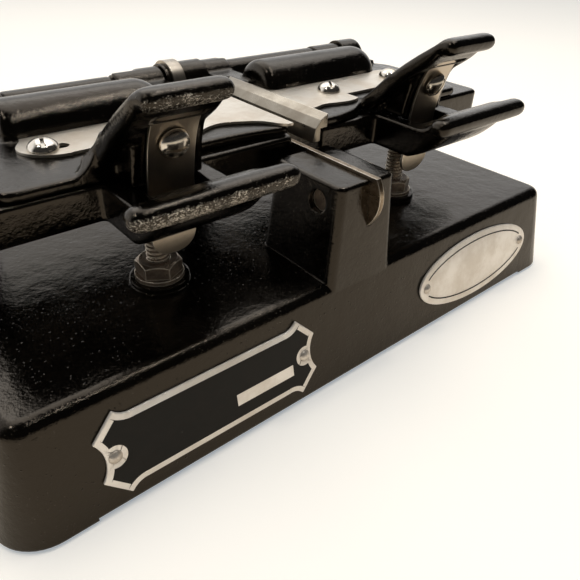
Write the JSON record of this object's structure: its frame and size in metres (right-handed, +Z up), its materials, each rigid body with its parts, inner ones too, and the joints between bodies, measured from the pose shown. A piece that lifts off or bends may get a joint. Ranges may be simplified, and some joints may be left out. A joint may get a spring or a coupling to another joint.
{
  "type": "film splicer",
  "caption": "Bench film splicer: cast base with hinged lower leaves and covers, finger tabs, latch springs, stop screws and a centre cutting blade.",
  "frame": {"origin": "on the table under the middle of the base", "axes": "+X along the front towards the right hand, +Y to the hinge at the rear, +Z up"},
  "size_m": [0.2164, 0.1083, 0.0904],
  "materials": {
    "black_enamel": "gloss black stoved enamel over cast iron",
    "badge_enamel": "black enamel field with a plain silver border",
    "badge_silver": "satin silver badge",
    "bright_steel": "bright small steel",
    "blade_steel": "worn ground steel",
    "dark_steel": "dark oiled steel",
    "spring_steel": "satin spring steel",
    "nickel": "nickel plate"
  },
  "bodies": {
    "base": {"base_casting": "black_enamel", "nameplate": "badge_enamel", "nameplate_pins": "bright_steel", "oval_badge": "badge_silver", "oval_badge_pins": "bright_steel", "centre_blade": "blade_steel", "blade_screw": "dark_steel", "stop_screws": "dark_steel", "lock_nuts": "dark_steel", "lock_washers": "dark_steel", "hinge_rod": "dark_steel", "centre_ring": "nickel"},
    "left_leaf": {"lower_leaf_left": "black_enamel", "film_plate_left": "nickel", "film_pins_left": "bright_steel"},
    "left_cover": {"cover_left": "black_enamel", "cover_plate_left": "nickel", "cover_screws_left": "nickel", "latch_screw_left": "nickel"},
    "left_latch": {"latch_spring_left": "spring_steel"},
    "right_leaf": {"lower_leaf_right": "black_enamel", "film_plate_right": "nickel", "film_pins_right": "bright_steel"},
    "right_cover": {"cover_right": "black_enamel", "cover_plate_right": "nickel", "cover_screws_right": "nickel", "latch_screw_right": "nickel", "shear_bar": "nickel"},
    "right_latch": {"latch_spring_right": "spring_steel"}
  },
  "joints": [
    {"name": "left_leaf_lift", "type": "hinge", "parent": "base", "child": "left_leaf", "pos_m": [-0.05, 0.0465, 0.0651], "axis": [-1, 0, 0], "range_deg": [0, 90]},
    {"name": "left_cover_lift", "type": "hinge", "parent": "left_leaf", "child": "left_cover", "pos_m": [-0.05, 0.0465, 0.0651], "axis": [-1, 0, 0], "range_deg": [0, 100]},
    {"name": "left_latch_flex", "type": "hinge", "parent": "left_cover", "child": "left_latch", "pos_m": [-0.0472, -0.0273, 0.0742], "axis": [-1, 0, 0], "range_deg": [-1.5, 2.5], "stiffness_Nm_per_rad": 1.2},
    {"name": "right_leaf_lift", "type": "hinge", "parent": "base", "child": "right_leaf", "pos_m": [0.05, 0.0465, 0.0651], "axis": [-1, 0, 0], "range_deg": [0, 90]},
    {"name": "right_cover_lift", "type": "hinge", "parent": "right_leaf", "child": "right_cover", "pos_m": [0.05, 0.0465, 0.0651], "axis": [-1, 0, 0], "range_deg": [0, 100]},
    {"name": "right_latch_flex", "type": "hinge", "parent": "right_cover", "child": "right_latch", "pos_m": [0.0472, -0.0273, 0.0742], "axis": [-1, 0, 0], "range_deg": [-1.5, 2.5], "stiffness_Nm_per_rad": 1.2}
  ]
}
